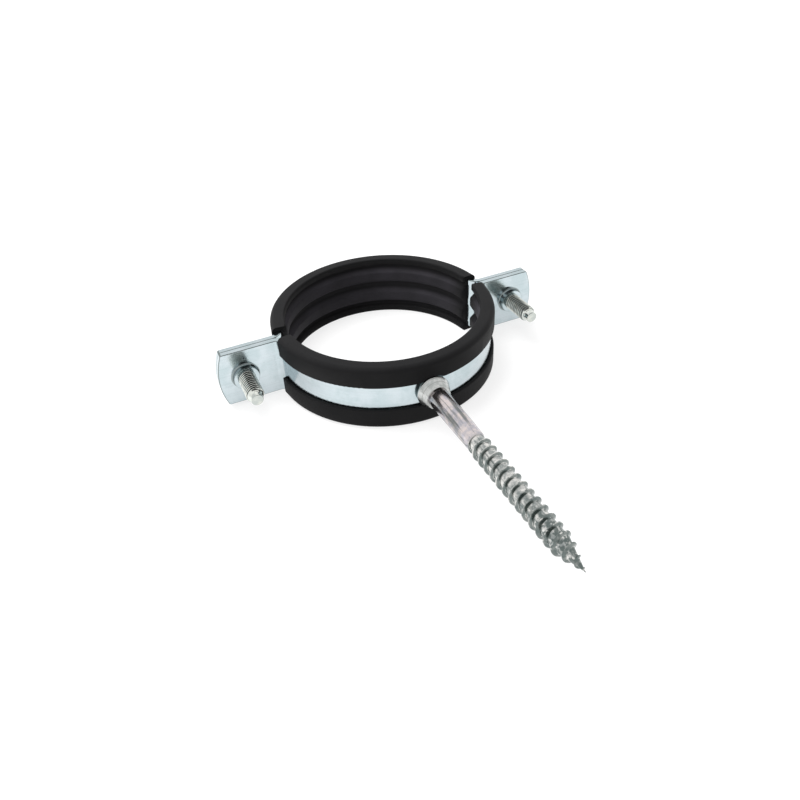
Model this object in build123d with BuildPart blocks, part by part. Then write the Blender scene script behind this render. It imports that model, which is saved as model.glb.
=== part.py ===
from build123d import *

import os
from math import cos, pi, radians, sin, sqrt

# Rubber lined two-screw pipe clamp on a hanger screw.
#
# The origin is on the pipe's axis, halfway along the clamp.  +Z runs along the pipe, the ears reach
# out along X, and the hanger screw points along -Y.  The front half is the one with the hanger
# screw.  All sizes are in millimetres.

# Pipe and strip
pipe_diameter = 67.0        # the closed clamp's ribs just meet this pipe
band_width = 20.0
band_thickness = 2.0
bend_radius = 2.5           # inside radius where the strip turns into an ear

# Rubber liner
rib_rise = 0.5              # the ribs stand this far in from the rims
liner_wall = 1.9            # rubber between a rim's inner face and the strip
groove_web = 0.55           # rubber left under the grooves
lip_thickness = 1.1
lip_opening = 8.7           # bare strip seen between the two lips
rim_thickness = 1.6         # rubber over each edge of the strip
rim_land = 2.3              # inner face of a rim, along the pipe
rib_spacing = 8.6           # between the middles of the two ribs
rib_base = 6.8
rib_crown = 3.4
rib_edge_radius = 1.0
outer_roll_radius = 1.8     # the rim's outer corners
inner_roll_radius = 0.6     # the rim's inner corners
lip_edge_radius = 0.4
slot_clearance = 0.1        # all round the strip
liner_end_angle = 8.0       # the liner stops this far short of the ears

# Ears and clamp screws
ear_length = 23.1           # from the middle of the ring's strip to the middle of an ear's end
ear_bulge = 2.0             # how far an ear's end bows out past its corners
ear_corner_radius = 1.0
strip_edge_radius = 0.3     # the sheared strip's edges are a little rounded
screw_distance = 13.1       # from the ring's outside to a clamp screw's axis
screw_diameter = 5.9        # M6, over the crests
screw_length = 19.0         # under the head
point_diameter = 4.0
point_length = 1.9
head_diameter = 12.0
head_height = 4.0
head_round = 2.4
slot_width = 1.4
slot_depth = 1.3
cross_width = 2.0
cross_span = 6.4
cross_depth = 2.6
thread_clearance = 0.05     # radial, screw in its tapped collar or boss
ear_hole_clearance = 0.3    # radial, screw through the plain ear
collar_diameter = 8.6
collar_height = 2.0
collar_fillet = 0.5

# Weld boss
boss_neck_diameter = 8.4
boss_neck_height = 0.8
flange_diameter = 11.2
flange_edge = 0.5
boss_nose_diameter = 8.2
boss_height = 4.8           # from the strip to the nose
weld_gap = 0.05
boss_clearance = 0.3        # between the flange and the liner's lips

# Hanger screw
stub_diameter = 5.9         # M6 stub inside the boss
shoulder_gap = 0.1
shank_diameter = 7.0
shank_end_diameter = 6.3
shank_length = 22.0
wood_core_diameter = 5.2
wood_thread_height = 0.9    # crest above the core
wood_thread_base = 1.6      # width of the ridge at the core
wood_thread_crest = 0.2     # width of the ridge at its crest
wood_thread_pitch = 3.1
wood_thread_length = 51.0
wood_thread_root = 0.4      # how deep the ridge is rooted in the core
point_cone_length = 9.5
point_thread_end = 1.2      # the thread fades out this far before the very point
point_thread_scale = 0.3    # size of the ridge there, as a share of the full ridge

# Sizes that follow
rib_radius = pipe_diameter / 2
rim_radius = rib_radius + rib_rise
band_inner_radius = rim_radius + liner_wall
band_middle_radius = band_inner_radius + band_thickness / 2
band_outer_radius = band_inner_radius + band_thickness
liner_outer_radius = band_outer_radius + lip_thickness
ear_reach = band_middle_radius + ear_length
screw_offset = band_outer_radius + screw_distance
half_band = band_width / 2
half_liner = half_band + rim_thickness
groove_radius = band_inner_radius - groove_web
screw_bore_radius = screw_diameter / 2 + thread_clearance


def band_profile():
    """Half ring of strip with an ear at each end, seen along the pipe, on the -Y side."""
    bend_x = sqrt(band_outer_radius**2 - band_thickness**2)
    with BuildSketch() as profile:
        Circle(band_outer_radius)
        Circle(band_inner_radius, mode=Mode.SUBTRACT)
        Rectangle(
            2 * band_outer_radius,
            band_outer_radius,
            align=(Align.CENTER, Align.MAX),
            mode=Mode.INTERSECT,
        )
        ear_length = ear_reach - band_middle_radius
        for side in (-1, 1):
            with Locations((side * (band_middle_radius + ear_length / 2), -band_thickness / 2)):
                Rectangle(ear_length, band_thickness)
        outside_bends = profile.vertices().filter_by(
            lambda v: abs(abs(v.X) - bend_x) < 0.01 and abs(v.Y + band_thickness) < 0.01
        )
        fillet(outside_bends, bend_radius)
        inside_bends = profile.vertices().filter_by(
            lambda v: abs(abs(v.X) - band_inner_radius) < 0.01 and abs(v.Y) < 0.01
        )
        fillet(inside_bends, bend_radius + band_thickness)
    return profile.sketch


def strip_outline():
    """The flat strip seen from the front: straight edges and an outward bowed end at each ear."""
    corner_x = ear_reach - ear_bulge
    with BuildSketch(Plane.XZ) as outline:
        with BuildLine():
            Line((-corner_x, -half_band), (corner_x, -half_band))
            ThreePointArc((corner_x, -half_band), (ear_reach, 0), (corner_x, half_band))
            Line((corner_x, half_band), (-corner_x, half_band))
            ThreePointArc((-corner_x, half_band), (-ear_reach, 0), (-corner_x, -half_band))
        make_face()
        fillet(outline.vertices(), ear_corner_radius)
    return outline.sketch


def strip_edges(band):
    """The edges that run round the two broad faces of the strip."""
    rim_faces = band.faces().filter_by(
        lambda f: abs(f.center().Z) > half_band - ear_corner_radius
        or abs(f.center().X) > ear_reach - ear_bulge
    )
    rim_edges = [edge for face in rim_faces for edge in face.edges()]
    return ShapeList(edge for edge in rim_edges if rim_edges.count(edge) == 1)


def liner_profile(start_angle):
    """Section of the rubber on the radial plane at start_angle; x is the radius, y runs along Z."""
    outward = Vector(cos(radians(start_angle)), sin(radians(start_angle)))
    radial_plane = Plane(origin=(0, 0, 0), x_dir=outward, z_dir=outward.cross(Vector(0, 0, 1)))
    with BuildSketch(radial_plane) as profile:
        with Locations((rim_radius, 0)):
            Rectangle(
                liner_outer_radius - rim_radius, 2 * half_liner, align=(Align.MIN, Align.CENTER)
            )
        fillet(profile.vertices().group_by(Axis.X)[-1], outer_roll_radius)
        fillet(profile.vertices().group_by(Axis.X)[0], inner_roll_radius)
        with Locations((rim_radius, 0)):
            Rectangle(
                groove_radius - rim_radius,
                2 * (half_liner - rim_land),
                align=(Align.MIN, Align.CENTER),
                mode=Mode.SUBTRACT,
            )
        for side in (-1, 1):
            middle = side * rib_spacing / 2
            with BuildLine():
                Polyline(
                    (band_inner_radius - groove_web / 2, middle - rib_base / 2),
                    (groove_radius, middle - rib_base / 2),
                    (rib_radius, middle - rib_crown / 2),
                    (rib_radius, middle + rib_crown / 2),
                    (groove_radius, middle + rib_base / 2),
                    (band_inner_radius - groove_web / 2, middle + rib_base / 2),
                    close=True,
                )
            make_face()
        fillet(profile.vertices().group_by(Axis.X)[0], rib_edge_radius)
        with Locations((band_middle_radius, 0)):
            Rectangle(
                band_thickness + 2 * slot_clearance,
                band_width + 2 * slot_clearance,
                mode=Mode.SUBTRACT,
            )
        with Locations((band_middle_radius, 0)):
            Rectangle(
                band_thickness + 2 * lip_thickness,
                lip_opening,
                align=(Align.MIN, Align.CENTER),
                mode=Mode.SUBTRACT,
            )
        lip_edges = profile.vertices().group_by(Axis.X)[-1].sort_by(lambda v: abs(v.Y))[:2]
        fillet(lip_edges, lip_edge_radius)
    return profile.sketch


# Front half of the strip: both ears carry a collar drawn from the ear and tapped for a clamp screw.
with BuildPart() as front_band:
    add(band_profile())
    extrude(amount=half_band, both=True)
    extrude(strip_outline(), 2 * band_outer_radius, both=True, mode=Mode.INTERSECT)
    fillet(strip_edges(front_band), strip_edge_radius)
    front_face = Plane.XZ.offset(band_thickness)
    with BuildSketch(front_face):
        with Locations((-screw_offset, 0), (screw_offset, 0)):
            Circle(collar_diameter / 2)
    extrude(amount=collar_height)
    collar_roots = front_band.edges().filter_by(GeomType.CIRCLE).filter_by(
        lambda e: abs(e.radius - collar_diameter / 2) < 0.01
        and abs(e.center().Y + band_thickness) < 0.01
    )
    fillet(collar_roots, collar_fillet)
    with BuildSketch(Plane.XZ):
        with Locations((-screw_offset, 0), (screw_offset, 0)):
            Circle(screw_bore_radius)
    extrude(amount=band_thickness + collar_height, mode=Mode.SUBTRACT)
front_band.part.label = "front_band"

# Rear half of the strip: the same pressing, with plain holes for the clamp screws.
with BuildPart() as rear_band:
    add(band_profile().rotate(Axis.Z, 180))
    extrude(amount=half_band, both=True)
    extrude(strip_outline(), 2 * band_outer_radius, both=True, mode=Mode.INTERSECT)
    fillet(strip_edges(rear_band), strip_edge_radius)
    with BuildSketch(Plane.XZ):
        with Locations((-screw_offset, 0), (screw_offset, 0)):
            Circle(screw_diameter / 2 + ear_hole_clearance)
    extrude(amount=-band_thickness, mode=Mode.SUBTRACT)
rear_band.part.label = "rear_band"

# Liners: one length of extruded rubber curled into each half, cut square short of the ears.
liner_arc = 180 - 2 * liner_end_angle
with BuildPart() as front_liner:
    add(liner_profile(180 + liner_end_angle))
    revolve(axis=Axis.Z, revolution_arc=liner_arc)
    with BuildSketch(Plane.XZ.offset(band_middle_radius)):
        Circle(flange_diameter / 2 + boss_clearance)
    extrude(amount=band_thickness + lip_thickness, mode=Mode.SUBTRACT)
front_liner.part.label = "front_liner"

with BuildPart() as rear_liner:
    add(liner_profile(liner_end_angle))
    revolve(axis=Axis.Z, revolution_arc=liner_arc)
rear_liner.part.label = "rear_liner"

# Weld boss: a round nut with a short neck on the strip, a flange, and a cone down to its nose.
flange_y = -(band_outer_radius + boss_neck_height)
nose_y = -(band_outer_radius + boss_height)
with BuildPart() as weld_boss:
    with BuildSketch():
        with BuildLine():
            Polyline(
                (stub_diameter / 2 + thread_clearance, -band_middle_radius),
                (boss_neck_diameter / 2, -band_middle_radius),
                (boss_neck_diameter / 2, flange_y),
                (flange_diameter / 2, flange_y),
                (flange_diameter / 2, flange_y - flange_edge),
                (boss_nose_diameter / 2, nose_y),
                (stub_diameter / 2 + thread_clearance, nose_y),
                close=True,
            )
        make_face()
    revolve(axis=Axis.Y)
    Cylinder(band_outer_radius + weld_gap, band_width, mode=Mode.SUBTRACT)
weld_boss.part.label = "weld_boss"

# Hanger screw: a machine stub in the boss, a shank that narrows to the rolled blank, a coarse wood
# thread and a gimlet point.
shoulder_y = nose_y - shoulder_gap
thread_y = shoulder_y - shank_length
tip_y = thread_y - wood_thread_length
core_radius = wood_core_diameter / 2
cone_start = wood_thread_length - point_cone_length
thread_end = wood_thread_length - point_thread_end


def core_radius_at(depth):
    """Radius of the core this far past the end of the shank."""
    return core_radius * min(1, (wood_thread_length - depth) / point_cone_length)


def thread_point(depth):
    """Point on the core where the right-hand ridge is, this far past the end of the shank."""
    angle = 2 * pi * depth / wood_thread_pitch
    radius = core_radius_at(depth)
    return Vector(radius * cos(angle), thread_y - depth, radius * sin(angle))


def ridge_size(depth):
    """Size of the ridge as a share of the full one: it swells in one turn and fades on the point."""
    if depth < wood_thread_pitch:
        return max(depth / wood_thread_pitch, wood_thread_crest / wood_thread_base)
    if depth > cone_start:
        return 1 - (1 - point_thread_scale) * ((depth - cone_start) / (thread_end - cone_start)) ** 2
    return 1


turns = round((cone_start - wood_thread_pitch) / wood_thread_pitch)
straight_stops = [
    wood_thread_pitch + (cone_start - wood_thread_pitch) * i / turns for i in range(turns + 1)
]
stops = [0, *straight_stops, (cone_start + thread_end) / 2, thread_end]
points_per_turn = 16
with BuildPart() as hanger_screw:
    with BuildSketch():
        with BuildLine():
            Polyline(
                (0, -(band_outer_radius + 2 * weld_gap)),
                (stub_diameter / 2, -(band_outer_radius + 2 * weld_gap)),
                (stub_diameter / 2, shoulder_y),
                (shank_diameter / 2, shoulder_y),
                (shank_end_diameter / 2, thread_y),
                (core_radius, thread_y - wood_thread_pitch / 2),
                (core_radius, tip_y + point_cone_length),
                (0, tip_y),
                close=True,
            )
        make_face()
    revolve(axis=Axis.Y)
    for start, end in zip(stops, stops[1:]):
        count = max(6, round((end - start) / wood_thread_pitch * points_per_turn))
        with BuildLine() as path:
            Spline(*[thread_point(start + (end - start) * i / count) for i in range(count + 1)])
        centre_line = path.wires()[0]
        for depth, place in ((start, 0), (end, 1)):
            origin = centre_line.position_at(place)
            along = centre_line.tangent_at(place)
            outward = Vector(origin.X, 0, origin.Z)
            outward = (outward - along * outward.dot(along)).normalized()
            size = ridge_size(depth)
            root = min(wood_thread_root, core_radius_at(depth) / 2)
            with BuildSketch(Plane(origin=origin, x_dir=outward, z_dir=along)):
                with BuildLine():
                    Polyline(
                        (-root, -size * wood_thread_base / 2),
                        (size * wood_thread_height, -size * wood_thread_crest / 2),
                        (size * wood_thread_height, size * wood_thread_crest / 2),
                        (-root, size * wood_thread_base / 2),
                        close=True,
                    )
                make_face()
        sweep(multisection=True, is_frenet=True)
hanger_screw.part.label = "hanger_screw"

# Clamp screws: pan head with a slot and a cross, M6 shank and a plain dog point.
clamp_screws = {}
for name, side in (("left_clamp_screw", -1), ("right_clamp_screw", 1)):
    screw_x = side * screw_offset
    with BuildPart() as screw:
        with BuildSketch(Plane((screw_x, 0, 0))):
            with BuildLine():
                under_head = band_thickness
                tip = under_head - screw_length
                radius = screw_diameter / 2
                Polyline(
                    (0, tip),
                    (point_diameter / 2, tip),
                    (point_diameter / 2, tip + point_length),
                    (radius, tip + point_length + radius - point_diameter / 2),
                    (radius, under_head),
                    (head_diameter / 2, under_head),
                    (head_diameter / 2, under_head + head_height),
                    (0, under_head + head_height),
                    close=True,
                )
            make_face()
        revolve(axis=Axis((screw_x, 0, 0), (0, 1, 0)))
        fillet(screw.edges().filter_by(GeomType.CIRCLE).group_by(Axis.Y)[-1], head_round)
        head_top = Plane((screw_x, band_thickness + head_height, 0), x_dir=(1, 0, 0), z_dir=(0, 1, 0))
        with BuildSketch(head_top):
            Rectangle(head_diameter, slot_width)
        extrude(amount=-slot_depth, mode=Mode.SUBTRACT)
        with BuildSketch(head_top):
            Rectangle(cross_span, cross_width)
            Rectangle(cross_width, cross_span)
        extrude(amount=-cross_depth, mode=Mode.SUBTRACT)
    screw.part.label = name
    clamp_screws[name] = screw.part

os.makedirs("parts", exist_ok=True)
pieces = (front_band, rear_band, front_liner, rear_liner, weld_boss, hanger_screw)
for piece in [p.part for p in pieces] + list(clamp_screws.values()):
    export_step(piece, f"parts/{piece.label}.step")
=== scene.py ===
from math import atan2, copysign, cos, degrees, radians, sin

import bmesh
import bpy
import numpy as np
from mathutils import Matrix, Vector


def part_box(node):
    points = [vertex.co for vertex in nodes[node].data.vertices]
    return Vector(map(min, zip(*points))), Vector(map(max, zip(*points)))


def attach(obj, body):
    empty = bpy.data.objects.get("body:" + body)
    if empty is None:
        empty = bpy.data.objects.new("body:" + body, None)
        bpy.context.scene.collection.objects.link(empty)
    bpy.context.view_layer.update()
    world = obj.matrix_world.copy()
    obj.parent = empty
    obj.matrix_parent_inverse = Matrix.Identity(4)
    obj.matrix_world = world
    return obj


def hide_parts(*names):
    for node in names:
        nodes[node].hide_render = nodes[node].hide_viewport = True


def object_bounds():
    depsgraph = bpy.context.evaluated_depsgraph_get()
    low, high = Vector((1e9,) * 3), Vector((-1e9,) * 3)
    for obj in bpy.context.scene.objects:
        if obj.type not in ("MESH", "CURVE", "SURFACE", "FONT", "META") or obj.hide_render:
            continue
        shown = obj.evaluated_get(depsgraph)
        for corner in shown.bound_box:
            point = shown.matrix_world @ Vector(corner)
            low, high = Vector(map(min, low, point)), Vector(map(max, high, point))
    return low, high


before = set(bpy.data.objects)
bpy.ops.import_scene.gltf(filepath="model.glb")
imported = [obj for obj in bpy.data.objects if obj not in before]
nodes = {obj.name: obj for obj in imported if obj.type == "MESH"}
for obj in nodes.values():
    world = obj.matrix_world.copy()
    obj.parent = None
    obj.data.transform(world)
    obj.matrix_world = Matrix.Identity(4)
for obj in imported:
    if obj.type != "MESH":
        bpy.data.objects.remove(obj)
cad_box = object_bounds()
scene = bpy.context.scene


# ---- Strip halves -------------------------------------------------------------------------------
# Two pressings of 20 x 2 mm cold rolled steel strip, zinc plated and blue passivated after pressing.
# Their rolling lines run along the strip, so on the ring and on the ears they lie across Z.
def feed(tree, place, value):
    """Sets an input to a number, vector or colour, or links an output to it."""
    if isinstance(value, bpy.types.NodeSocket):
        tree.links.new(value, place)
    else:
        place.default_value = value


def maths(tree, operation, *terms):
    """One maths node; each term is a number or an output."""
    node = tree.nodes.new("ShaderNodeMath")
    node.operation = operation
    for term, place in zip(terms, node.inputs):
        feed(tree, place, term)
    return node.outputs["Value"]


def slope(tree, source, low, high, bottom=0.0, top=1.0, form="LINEAR"):
    """A straight slope of a source value: bottom at low, top at high, level beyond them."""
    node = tree.nodes.new("ShaderNodeMapRange")
    node.interpolation_type = form
    for place, value in (("From Min", low), ("From Max", high), ("To Min", bottom), ("To Max", top)):
        node.inputs[place].default_value = value
    tree.links.new(source, node.inputs["Value"])
    return node.outputs["Result"]


def ramp(tree, source, low, high, top=1.0):
    """A smooth step of a source value: 0 at low, top at high."""
    return slope(tree, source, low, high, top=top, form="SMOOTHSTEP")


def stripe(tree, source, start, full, fading, end):
    """A smooth stripe of a source value: 1 from full to fading, 0 before start and after end."""
    return maths(tree, "MULTIPLY", ramp(tree, source, start, full), ramp(tree, source, end, fading))


def object_place(tree):
    """The Object coordinates as one vector."""
    return tree.nodes.new("ShaderNodeTexCoord").outputs["Object"]


def object_axes(tree):
    """The X, Y and Z of the Object coordinates."""
    axes = tree.nodes.new("ShaderNodeSeparateXYZ")
    tree.links.new(object_place(tree), axes.inputs["Vector"])
    return axes.outputs["X"], axes.outputs["Y"], axes.outputs["Z"]


def distance(tree, first, second):
    """The length of the plane vector (first, second)."""
    first_squared = maths(tree, "MULTIPLY", first, first)
    second_squared = maths(tree, "MULTIPLY", second, second)
    return maths(tree, "SQRT", maths(tree, "ADD", first_squared, second_squared))


def stretched(tree, place, factors):
    """A vector with each of its parts multiplied by its own factor."""
    node = tree.nodes.new("ShaderNodeVectorMath")
    node.operation = "MULTIPLY"
    tree.links.new(place, node.inputs[0])
    feed(tree, node.inputs[1], factors)
    return node.outputs["Vector"]


def noise(tree, place, scale, detail, roughness=0.5):
    """Cloudy noise from 0 to 1, read at a place."""
    node = tree.nodes.new("ShaderNodeTexNoise")
    feed(tree, node.inputs["Vector"], place)
    feed(tree, node.inputs["Scale"], scale)
    node.inputs["Detail"].default_value = detail
    node.inputs["Roughness"].default_value = roughness
    return node.outputs["Fac"]


def mixed(tree, amount, first, second):
    """The first colour where the amount is 0, and the second where it is 1."""
    node = tree.nodes.new("ShaderNodeMix")
    node.data_type = "RGBA"
    feed(tree, node.inputs["Factor"], amount)
    feed(tree, node.inputs["A"], first)
    feed(tree, node.inputs["B"], second)
    return node.outputs["Result"]


def bumped(tree, shader, height, depth):
    """Gives a shader a bump of this depth, in metres, from a height of 0 to 1."""
    bump = tree.nodes.new("ShaderNodeBump")
    bump.inputs["Distance"].default_value = depth
    tree.links.new(height, bump.inputs["Height"])
    tree.links.new(bump.outputs["Normal"], shader.inputs["Normal"])


def zinc_bloom_group():
    """Passivated zinc: soft clouds between two tints, and fine lines stretched along the work.

    Colour = mix(pale, cool, cloud noise), darkened to the stain where the line noise is high, as
     far as Streaks says, and wherever its last input, painted shade and dark patches, is near 1.
     Roughness = smooth + spread * line noise.
    Height = line noise.  Stretch scales the Object coordinates before the line noise is read.
    """
    group = bpy.data.node_groups.new("zinc bloom", "ShaderNodeTree")
    for direction, sockets in (
        ("INPUT", {
            "Pale": "Color",
            "Cool": "Color",
            "Cloud Size": "Float",
            "Stretch": "Vector",
            "Smooth": "Float",
            "Spread": "Float",
            "Stain": "Color",
            "Streaks": "Float",
            "Painted Shade And Patches": "Float",
        }),
        ("OUTPUT", {"Colour": "Color", "Roughness": "Float", "Height": "Float"}),
    ):
        for name, kind in sockets.items():
            group.interface.new_socket(name, in_out=direction, socket_type="NodeSocket" + kind)
    given = group.nodes.new("NodeGroupInput").outputs
    result = group.nodes.new("NodeGroupOutput").inputs
    place = object_place(group)
    clouds = noise(group, place, given["Cloud Size"], detail=3, roughness=0.6)
    tint = mixed(group, ramp(group, clouds, 0.35, 0.65), given["Pale"], given["Cool"])
    lines = noise(group, stretched(group, place, given["Stretch"]), 1, detail=4)
    streaks = maths(group, "MULTIPLY", ramp(group, lines, 0.48, 0.66), given["Streaks"])
    dark = maths(group, "MAXIMUM", streaks, given["Painted Shade And Patches"])
    feed(group, result["Colour"], mixed(group, dark, tint, given["Stain"]))
    rough = maths(group, "MULTIPLY_ADD", lines, given["Spread"], given["Smooth"])
    feed(group, result["Roughness"], rough)
    feed(group, result["Height"], lines)
    return group


zinc_bloom = zinc_bloom_group()


def zinc(name, pale, cool, stain, streaks, cloud_size, stretch, smooth, spread, line_depth):
    """A zinc plated steel surface.  Returns the material and its bloom node, whose input for painted
    shade and dark patches is left free.
    """
    material = bpy.data.materials.new(name)
    material.use_nodes = True
    tree = material.node_tree
    shader = tree.nodes["Principled BSDF"]
    shader.inputs["Metallic"].default_value = 1
    bloom = tree.nodes.new("ShaderNodeGroup")
    bloom.node_tree = zinc_bloom
    for place, value in (
        ("Pale", (*pale, 1)),
        ("Cool", (*cool, 1)),
        ("Stain", (*stain, 1)),
        ("Streaks", streaks),
        ("Cloud Size", cloud_size),
        ("Stretch", stretch),
        ("Smooth", smooth),
        ("Spread", spread),
    ):
        bloom.inputs[place].default_value = value
    tree.links.new(bloom.outputs["Colour"], shader.inputs["Base Color"])
    tree.links.new(bloom.outputs["Roughness"], shader.inputs["Roughness"])
    bumped(tree, shader, bloom.outputs["Height"], line_depth)
    return material, bloom


strip_zinc, strip_bloom = zinc(
    "zinc plated strip",
    pale=(0.58, 0.65, 0.68),
    cool=(0.50, 0.585, 0.61),
    stain=(0.17, 0.20, 0.195),
    streaks=0.07,
    cloud_size=150,
    stretch=(25, 25, 2500),
    smooth=0.10,
    spread=0.14,
    line_depth=2.5e-6,
)
# The arrises left by the shears are darkened with painted shade, and the fillets at the drawn
# collars' feet with a painted shadow and reflection of the collars.
half_width = 0.01           # of the strip
ear_reach = 0.06            # from the pipe's axis to the middle of an ear's bowed end
ear_bow = 20.0              # the end's X is ear_reach - ear_bow * z * z
ear_face = -0.002           # Y of the front ears' outer face
screw_offset = 0.051        # from the pipe's axis to each clamp screw's
tree = strip_zinc.node_tree
x, y, z = object_axes(tree)
across = maths(tree, "ABSOLUTE", z)
along_ear = maths(tree, "ABSOLUTE", x)
side_arris = stripe(
    tree,
    across,
    half_width - 0.00035,
    half_width - 0.00022,
    half_width - 0.00008,
    half_width,
)
bowed = maths(tree, "MULTIPLY_ADD", maths(tree, "MULTIPLY", z, z), ear_bow, along_ear)
end_arris = stripe(
    tree,
    bowed,
    ear_reach - 0.00038,
    ear_reach - 0.00025,
    ear_reach - 0.00008,
    ear_reach,
)
from_screw = distance(tree, maths(tree, "SUBTRACT", along_ear, screw_offset), z)
collar_foot_shadow = stripe(tree, from_screw, 0.0041, 0.0044, 0.0047, 0.0051)
on_front = ramp(tree, y, ear_face + 0.0001, ear_face - 0.00002)
collar_foot_shadow = maths(tree, "MULTIPLY", collar_foot_shadow, on_front)
# The arrises' painted shade and the collars' painted shadow darken the zinc towards its stain.
painted_arris_shade = maths(tree, "MULTIPLY", maths(tree, "MAXIMUM", side_arris, end_arris), 0.85)
painted_foot_shadow = maths(tree, "MULTIPLY", collar_foot_shadow, 0.8)
feed(tree, strip_bloom.inputs["Painted Shade And Patches"], maths(tree, "MAXIMUM", painted_arris_shade, painted_foot_shadow))
for name in ("front_band", "rear_band"):
    nodes[name].material_slots[0].material = strip_zinc


# ---- Weld boss ----------------------------------------------------------------------------------
# A turned steel nut, welded to the front half by its neck.  The tool's marks run round its axis,
# which is Y, so its lines are stretched across Y.
boss_zinc = zinc(
    "zinc plated boss",
    pale=(0.60, 0.61, 0.60),
    cool=(0.42, 0.44, 0.43),
    stain=(0.22, 0.21, 0.20),
    streaks=0.6,
    cloud_size=400,
    stretch=(30, 3000, 30),
    smooth=0.14,
    spread=0.1,
    line_depth=1.5e-6,
)[0]
nodes["weld_boss"].material_slots[0].material = boss_zinc


# ---- Hanger screw -------------------------------------------------------------------------------
# Rolled from wire and zinc plated: a smooth shank with a warm cast, a coarse wood thread and a
# gimlet point.  The drawing lines of the wire run along its axis, which is Y.
hanger_zinc, hanger_bloom = zinc(
    "zinc plated hanger screw",
    pale=(0.78, 0.77, 0.74),
    cool=(0.30, 0.325, 0.32),
    stain=(0.095, 0.122, 0.117),
    streaks=0.8,
    cloud_size=480,
    stretch=(900, 60, 900),
    smooth=0.1,
    spread=0.12,
    line_depth=2e-6,
)
# The ridge's flanks get painted shade, and the zinc is darker in patches towards the point.  Height
# above the core
#  is the distance from the axis less the core's radius, which falls to nothing over the point.
# These are Y of the tip, of the start of the point's cone, and of the start of the thread.
point_end = -0.1158
point_start = -0.1063
thread_start = -0.0648
core_radius = 0.0026
tree = hanger_zinc.node_tree
x, y, z = object_axes(tree)
core = slope(tree, y, point_end, point_start, top=core_radius)
above_core = maths(tree, "SUBTRACT", distance(tree, x, z), core)
threaded = ramp(tree, y, thread_start, thread_start - 0.0022)
above_root = ramp(tree, above_core, 0.00004, 0.00016, 0.8)
below_crest = ramp(tree, above_core, 0.00088, 0.00072)
# Painted shade on the flanks, from just above the root to just below the crest, on the thread only.
flank_painted_shade = maths(tree, "MULTIPLY", maths(tree, "MULTIPLY", above_root, below_crest), threaded)
patches = noise(tree, object_place(tree), 900, detail=2)
near_point = ramp(tree, y, -0.078, -0.106, 0.9)
patched = maths(tree, "MULTIPLY", ramp(tree, patches, 0.38, 0.53), near_point)
feed(tree, hanger_bloom.inputs["Painted Shade And Patches"], maths(tree, "MAXIMUM", flank_painted_shade, patched))
for tint, on_shank in (("Pale", (0.74, 0.66, 0.64, 1)), ("Cool", (0.50, 0.485, 0.53, 1))):
    on_thread = tuple(hanger_bloom.inputs[tint].default_value)
    feed(tree, hanger_bloom.inputs[tint], mixed(tree, threaded, on_shank, on_thread))
nodes["hanger_screw"].material_slots[0].material = hanger_zinc


# ---- Liners -------------------------------------------------------------------------------------
# Black EPDM extruded as one flat channel, cut square and pressed over each half of the strip.
# The die leaves faint lines along the extrusion; the ribs inside have a bloom that looks violet.
def rubber(name, black, bloom_tint, die_line_depth):
    """Matt black rubber, with a violet grey bloom on the ribs and in the grooves between the rims.

    Bloom = inside the ring * between the rims * away from the cut ends * cloud noise.
    """
    material = bpy.data.materials.new(name)
    material.use_nodes = True
    tree = material.node_tree
    shader = tree.nodes["Principled BSDF"]
    shader.inputs["Specular IOR Level"].default_value = 0.13
    place = object_place(tree)
    x, y, z = object_axes(tree)
    inside = slope(tree, distance(tree, x, y), 0.0355, 0.0345)
    between_rims = slope(tree, maths(tree, "ABSOLUTE", z), 0.0094, 0.0084)
    from_ends = ramp(tree, maths(tree, "ABSOLUTE", y), 0.003, 0.014)
    patches = noise(tree, place, 90, detail=4)
    bloom = maths(tree, "MULTIPLY", maths(tree, "MULTIPLY", inside, between_rims), patches)
    bloom = maths(tree, "MULTIPLY", bloom, from_ends)
    feed(tree, shader.inputs["Base Color"], mixed(tree, bloom, (*black, 1), (*bloom_tint, 1)))
    feed(tree, shader.inputs["Roughness"], slope(tree, patches, 0, 1, bottom=0.5, top=0.72))
    die_lines = noise(tree, stretched(tree, place, (40, 40, 2200)), 1, detail=3)
    bumped(tree, shader, die_lines, die_line_depth)
    return material


liner_rubber = rubber(
    "black rubber",
    black=(0.0085, 0.0085, 0.009),
    bloom_tint=(0.05, 0.047, 0.056),
    die_line_depth=1e-5,
)
cut_angle = 8.0             # degrees round the pipe from the ears to the frame's liners
end_angle = 4.8             # the same, for the rubber pressed home
end_lift = 0.00015          # the strip's bend carries the end outward by this much
same_place = 1e-7           # points nearer than this are one point
sharp_edge = radians(32)    # steeper edges than this stay sharp


def pressed_home(node):
    """A copy of the frame's liner with both ends drawn on along the strip, into its bend.

    Each end face is extruded: a point at angle a round the pipe goes to a - (cut - end), and its
    radius grows by the lift.
    """
    liner = bmesh.new()
    liner.from_mesh(nodes[node].data)
    bmesh.ops.remove_doubles(liner, verts=liner.verts, dist=same_place)
    on_cut = {
        vert for vert in liner.verts
        if degrees(atan2(abs(vert.co.y), abs(vert.co.x))) < cut_angle + 0.02
    }
    ends = [face for face in liner.faces if all(vert in on_cut for vert in face.verts)]
    grown = bmesh.ops.extrude_face_region(liner, geom=ends)["geom"]
    # The faces that were extruded are now inside the rubber.
    inner = [face for face in ends if face.is_valid]
    bmesh.ops.delete(liner, geom=inner, context="FACES_ONLY")
    for vert in grown:
        if isinstance(vert, bmesh.types.BMVert):
            angle = atan2(abs(vert.co.y), abs(vert.co.x)) - radians(cut_angle - end_angle)
            radius = vert.co.xy.length + end_lift
            vert.co.x = copysign(radius * cos(angle), vert.co.x)
            vert.co.y = copysign(radius * sin(angle), vert.co.y)
    bmesh.ops.recalc_face_normals(liner, faces=liner.faces)
    put_in_order(liner)
    mesh = bpy.data.meshes.new("visible_" + node)
    liner.to_mesh(mesh)
    liner.free()
    return finished(mesh, liner_rubber)


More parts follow.
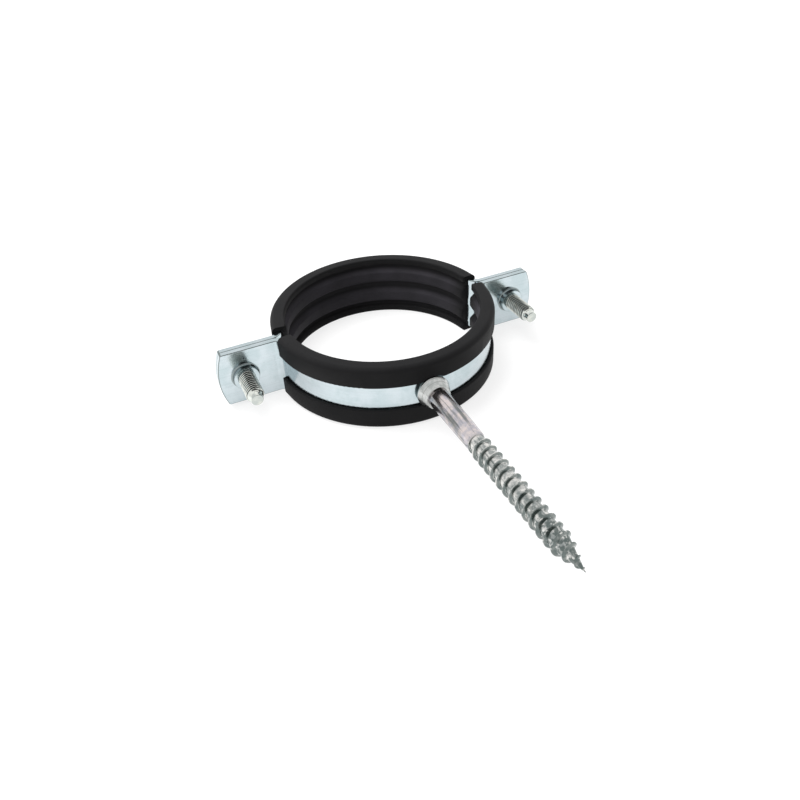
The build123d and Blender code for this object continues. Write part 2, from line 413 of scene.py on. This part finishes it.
def put_in_order(shape):
    """Orders points by place and faces by their points, because extruding leaves a chance order."""
    for rank, vert in enumerate(sorted(shape.verts, key=lambda vert: tuple(vert.co))):
        vert.index = rank
    shape.verts.sort()
    ranked = sorted(shape.faces, key=lambda face: sorted(vert.index for vert in face.verts))
    for rank, face in enumerate(ranked):
        face.index = rank
    shape.faces.sort()


def finished(mesh, material):
    """Puts a closed mesh in the scene, smooth but for its sharp edges, in this material."""
    mesh.shade_smooth()
    mesh.set_sharp_from_angle(angle=sharp_edge)
    mesh.materials.append(material)
    piece = bpy.data.objects.new(mesh.name, mesh)
    scene.collection.objects.link(piece)
    return piece


for node, body in (("front_liner", "front_half"), ("rear_liner", "rear_half")):
    piece = pressed_home(node)
    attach(piece, body)
    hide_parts(node)


# ---- Clamp screws -------------------------------------------------------------------------------
# M6 pan head screws, cold headed and thread rolled, then zinc plated.  The head and its slot and
# cross are the frame's own mesh; the shank gets its rolled thread and its dog point here.
screw_radius = 0.00295
screw_pitch = 0.001
thread_depth = 0.00055
crest_half_width = 0.0625   # of the pitch, and so is the root's
flank_width = 0.375         # of the pitch
under_head = 0.002
head_seat = 0.0026          # the shank starts this high, inside the head
point_radius = 0.002
point_length = 0.0019
tip_bevel = 0.00015
screw_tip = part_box("left_clamp_screw")[0][1]
screw_zinc, screw_bloom = zinc(
    "zinc plated clamp screw",
    pale=(0.82, 0.84, 0.78),
    cool=(0.66, 0.70, 0.67),
    stain=(0.07, 0.085, 0.078),
    streaks=0.3,
    cloud_size=500,
    stretch=(400, 400, 400),
    smooth=0.12,
    spread=0.12,
    line_depth=1.5e-6,
)
# The thread's troughs get painted shade, and its sheared end is a little darker than the rest.
tree = screw_zinc.node_tree
trough = tree.nodes.new("ShaderNodeAttribute")
trough.attribute_name = "trough"
x, y, z = object_axes(tree)
trough_painted_shade = ramp(tree, trough.outputs["Fac"], 0.2, 0.45)
sheared_end = ramp(tree, y, screw_tip + 0.0004, screw_tip + 0.0002, 0.28)
feed(tree, screw_bloom.inputs["Painted Shade And Patches"], maths(tree, "MAXIMUM", trough_painted_shade, sheared_end))


def thread_shank(centre_x, around=64, rows_per_turn=20):
    """Rolled M6 shank as one closed tube down to a dog point: its points, faces and troughs.

    With s the distance from the tip and t the angle round the axis, the radius is the crest minus
    depth * trough((s / pitch + t / turn) mod 1), where trough is a flat crest, two flanks and a
    flat root, and depth fades to nothing at both ends.  At the tip the crest itself runs down a
    45 degree cone to the dog point.
    """
    tube_length = head_seat - screw_tip
    rows = int(tube_length / screw_pitch * rows_per_turn)
    point_rows = np.linspace(0.0001, point_length, 4)
    thread_rows = np.linspace(point_length, tube_length, rows)[1:]
    s = np.concatenate([[0], point_rows, thread_rows])
    t = np.linspace(0, 2 * np.pi, around, endpoint=False)
    S, T = np.meshgrid(s, t, indexing="ij")
    phase = np.mod(S / screw_pitch + T / (2 * np.pi), 1)
    from_crest = 0.5 - np.abs(phase - 0.5)
    trough = np.clip((from_crest - crest_half_width) / flank_width, 0, 1)
    runs_in = np.clip((S - point_length - 0.0002) / 0.0008, 0, 1)
    runs_out = np.clip((tube_length - S - 0.001) / 0.001, 0, 1)
    trough = trough * runs_in * runs_out
    crest = np.minimum(screw_radius, point_radius + np.maximum(S - point_length, 0))
    radius = crest - thread_depth * trough
    radius = np.where(S < tip_bevel, point_radius - tip_bevel + S, radius)
    x = centre_x + radius * np.cos(T)
    y = screw_tip + S
    z = radius * np.sin(T)
    points = np.stack([x, y, z], axis=-1).reshape(-1, 3)
    row, column = np.meshgrid(np.arange(len(s) - 1), np.arange(around), indexing="ij")
    here = row * around
    above = here + around
    beside = (column + 1) % around
    corners = [here + column, above + column, above + beside, here + beside]
    quads = np.stack(corners, axis=-1).reshape(-1, 4)
    tip_cap = list(range(around))
    head_cap = list(range(len(points) - 1, len(points) - 1 - around, -1))
    return points, [*quads.tolist(), tip_cap, head_cap], trough.reshape(-1)


def clamp_screw(node, centre_x):
    """The frame's screw head, closed under the seat, with the threaded shank set into it."""
    screw = bmesh.new()
    screw.from_mesh(nodes[node].data)
    bmesh.ops.remove_doubles(screw, verts=screw.verts, dist=same_place)
    cut = bmesh.ops.bisect_plane(
        screw,
        geom=[*screw.verts, *screw.edges, *screw.faces],
        plane_co=(0, under_head - 1e-5, 0),
        plane_no=(0, -1, 0),
        clear_outer=True,
    )
    rim = [edge for edge in cut["geom_cut"] if isinstance(edge, bmesh.types.BMEdge)]
    bmesh.ops.holes_fill(screw, edges=rim)
    no_trough = np.zeros(len(screw.verts))
    points, faces, trough = thread_shank(centre_x)
    shank = bpy.data.meshes.new("shank")
    shank.from_pydata(points, [], faces)
    screw.from_mesh(shank)
    bpy.data.meshes.remove(shank)
    bmesh.ops.recalc_face_normals(screw, faces=screw.faces)
    mesh = bpy.data.meshes.new(node.replace("clamp", "visible_clamp"))
    screw.to_mesh(mesh)
    screw.free()
    depths = mesh.attributes.new("trough", "FLOAT", "POINT")
    depths.data.foreach_set("value", np.concatenate([no_trough, trough]))
    return finished(mesh, screw_zinc)


for node, body, side in (
    ("left_clamp_screw", "left_screw", -1),
    ("right_clamp_screw", "right_screw", 1),
):
    piece = clamp_screw(node, side * screw_offset)
    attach(piece, body)
    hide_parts(node)


# ---- Floor and light ----------------------------------------------------------------------------
# A white table that shows as plain white, with the clamp's soft shadow left on it, a white room
# as the camera and the metal see it, two soft lamps, and a black card for the metal's reflections.
def seen_or_mirrored(tree):
    """1 for what the camera sees directly, in a reflection or through glass, and 0 for light."""
    ray = tree.nodes.new("ShaderNodeLightPath").outputs
    seen = maths(tree, "MAXIMUM", ray["Is Camera Ray"], ray["Is Glossy Ray"])
    return maths(tree, "MAXIMUM", seen, ray["Is Transmission Ray"])


bpy.ops.mesh.primitive_plane_add(size=6, location=(0, 0, cad_box[0][2]))
floor = bpy.context.object
floor.name = "floor"
floor_material = bpy.data.materials.new("white table")
floor_material.use_nodes = True
tree = floor_material.node_tree
shader = tree.nodes["Principled BSDF"]
shader.inputs["Base Color"].default_value = (0.28, 0.28, 0.28, 1)
shader.inputs["Roughness"].default_value = 1
shader.inputs["Specular IOR Level"].default_value = 0
shader.inputs["Emission Color"].default_value = (1, 1, 1, 1)
# The lamps don't reach the table's far edge, so the glow there makes up for them.
near_glow = 0.75
x, y, z = object_axes(tree)
glow = maths(tree, "ADD", near_glow, ramp(tree, distance(tree, x, y), 0.45, 1.1, 1 - near_glow))
glow = maths(tree, "MULTIPLY", seen_or_mirrored(tree), glow)
feed(tree, shader.inputs["Emission Strength"], glow)
floor.data.materials.append(floor_material)

world = bpy.data.worlds.new("studio")
scene.world = world
world.use_nodes = True
tree = world.node_tree
# The light itself comes from a room that is bright above and below, and darkest just above eye level.
direction = tree.nodes.new("ShaderNodeTexCoord").outputs["Generated"]
split = tree.nodes.new("ShaderNodeSeparateXYZ")
tree.links.new(direction, split.inputs["Vector"])
room = tree.nodes.new("ShaderNodeValToRGB")
shades = room.color_ramp.elements
shades[0].color = (0.9, 0.9, 0.92, 1)
shades[1].color = (1, 1, 1, 1)
for height, colour in (
    (0.5, (0.55, 0.55, 0.57)),
    (0.58, (0.30, 0.29, 0.29)),
    (0.75, (0.50, 0.48, 0.48)),
    (0.86, (0.85, 0.85, 0.86)),
):
    shades.new(height).color = (*colour, 1)
feed(tree, room.inputs["Fac"], maths(tree, "MULTIPLY_ADD", split.outputs["Z"], 0.5, 0.5))
shown = mixed(tree, seen_or_mirrored(tree), room.outputs["Color"], (1, 1, 1, 1))
feed(tree, tree.nodes["Background"].inputs["Color"], shown)
scene.view_settings.view_transform = "Standard"


def facing_clamp(place):
    """A matrix that puts a plane or lamp at a place and turns its Z axis away from the clamp."""
    return Matrix.Translation(place) @ Vector(place).to_track_quat("Z", "Y").to_matrix().to_4x4()


def soft_lamp(name, place, size, power):
    """A square area lamp that shines at the clamp, and that its metal doesn't mirror."""
    data = bpy.data.lights.new(name, "AREA")
    data.size = size
    data.energy = power
    lamp = bpy.data.objects.new(name, data)
    lamp.matrix_world = facing_clamp(place)
    lamp.visible_glossy = False
    scene.collection.objects.link(lamp)


soft_lamp("top light", (-0.15, 0.25, 0.6), 0.5, 6)
soft_lamp("left light", (-0.6, -0.1, 0.35), 0.35, 2)

card_material = bpy.data.materials.new("black card")
card_material.use_nodes = True
card_shader = card_material.node_tree.nodes["Principled BSDF"]
card_shader.inputs["Base Color"].default_value = (0.02, 0.021, 0.02, 1)
card_shader.inputs["Roughness"].default_value = 1
bpy.ops.mesh.primitive_plane_add(size=1)
card = bpy.context.object
card.name = "black_card"
card.data.transform(facing_clamp((0.20, -0.75, 0.55)) @ Matrix.Diagonal((1.1, 0.6, 1, 1)))
card.visible_camera = False
card.visible_diffuse = False
card.visible_shadow = False
card.data.materials.append(card_material)


# ---- Camera -------------------------------------------------------------------------------------
# Looks down on the clamp from its front left, a hand's length away, a little rolled.
camera_azimuth = radians(-21.75)
camera_elevation = radians(32.94)
camera_roll = radians(-3.82)
camera_distance = 0.2551
camera_data = bpy.data.cameras.new("camera")
camera_data.lens = 32.19
camera_data.shift_x = 0.0206
camera_data.shift_y = -0.0849
camera_data.clip_start = 0.01
camera_data.clip_end = 20
camera = bpy.data.objects.new("camera", camera_data)
scene.collection.objects.link(camera)
scene.camera = camera
back = Vector((
    sin(camera_azimuth) * cos(camera_elevation),
    -cos(camera_azimuth) * cos(camera_elevation),
    sin(camera_elevation),
))
level_right = Vector((cos(camera_azimuth), sin(camera_azimuth), 0))
level_up = back.cross(level_right)
right = cos(camera_roll) * level_right + sin(camera_roll) * level_up
up = back.cross(right)
turn = Matrix((right, up, back)).transposed().to_4x4()
camera.matrix_world = Matrix.Translation(back * camera_distance) @ turn
